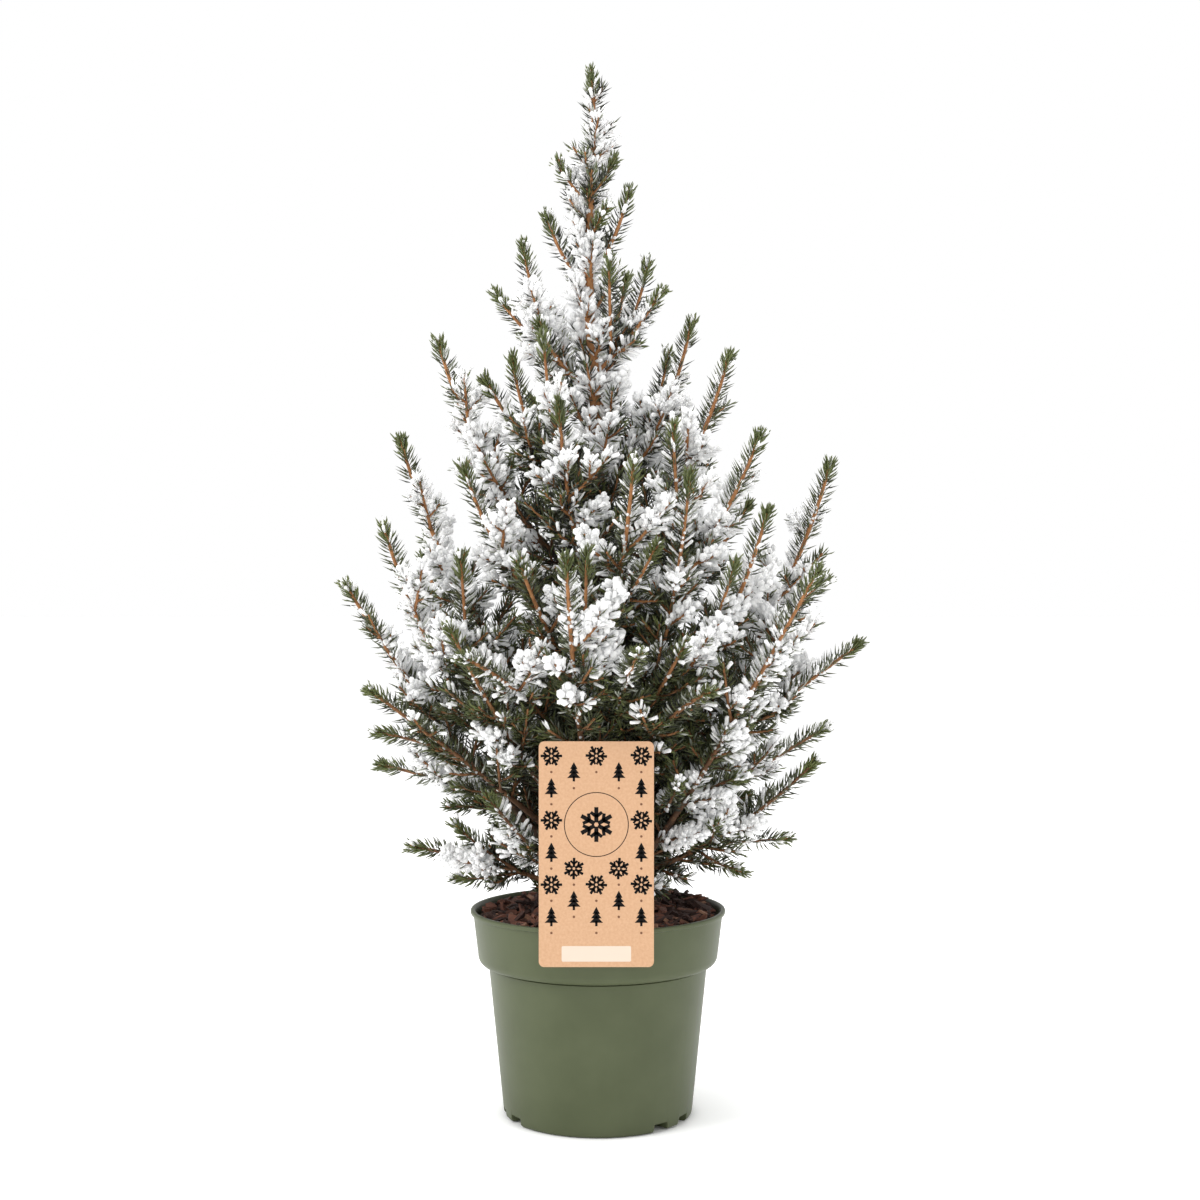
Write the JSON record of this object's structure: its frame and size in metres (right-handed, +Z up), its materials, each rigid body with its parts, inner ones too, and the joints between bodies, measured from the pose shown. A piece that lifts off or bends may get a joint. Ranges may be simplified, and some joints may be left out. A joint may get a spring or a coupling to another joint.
{
  "type": "potted dwarf spruce",
  "caption": "Young conical spruce with long upswept, snow-dusted shoots in a round green plastic nursery pot, with a patterned card label hooked over the rim.",
  "frame": {"origin": "centre of the pot's flat underside, where it stands on the floor", "axes": "+Z up along the pot's axis; -Y towards the label, which is the picture's front; +X to the picture's right"},
  "size_m": [0.3205, 0.2555, 0.617],
  "materials": {
    "pot": "satin",
    "soil": "matte",
    "label": "satin",
    "bark": "matte",
    "needles": "matte"
  },
  "bodies": {
    "root": {"pot": "pot", "soil": "soil", "label": "label", "trunk": "bark", "bough_left_9": "bark", "bough_left_10": "bark", "bough_left_12": "bark", "bough_right_10": "bark", "bough_right_11": "bark", "bough_right_13": "bark", "bough_front_3": "bark", "bough_back_1": "bark", "bough_back_3": "bark", "mass_left_1": "needles", "mass_left_3": "needles", "mass_left_4": "needles", "mass_left_5": "needles", "mass_left_6": "needles", "mass_left_7": "needles", "mass_left_8": "needles", "mass_left_9": "needles", "mass_left_10": "needles", "mass_left_11": "needles", "mass_left_12": "needles", "mass_right_1": "needles", "mass_right_3": "needles", "mass_right_4": "needles", "mass_right_5": "needles", "mass_right_6": "needles", "mass_right_7": "needles", "mass_right_8": "needles", "mass_right_9": "needles", "mass_right_10": "needles", "mass_right_11": "needles", "mass_right_12": "needles", "mass_right_13": "needles", "mass_front_1": "needles", "mass_front_2": "needles", "mass_front_3": "needles", "mass_front_4": "needles", "mass_front_5": "needles", "mass_front_6": "needles", "mass_front_7": "needles", "mass_front_8": "needles", "mass_front_9": "needles", "mass_front_10": "needles", "mass_front_11": "needles", "mass_back_1": "needles", "mass_back_2": "needles", "mass_back_3": "needles", "mass_back_4": "needles", "mass_back_5": "needles", "mass_back_6": "needles", "mass_back_7": "needles", "mass_back_8": "needles", "mass_back_9": "needles", "mass_back_10": "needles", "mass_back_11": "needles", "mass_back_12": "needles", "mass_leader": "needles"}
  },
  "joints": []
}
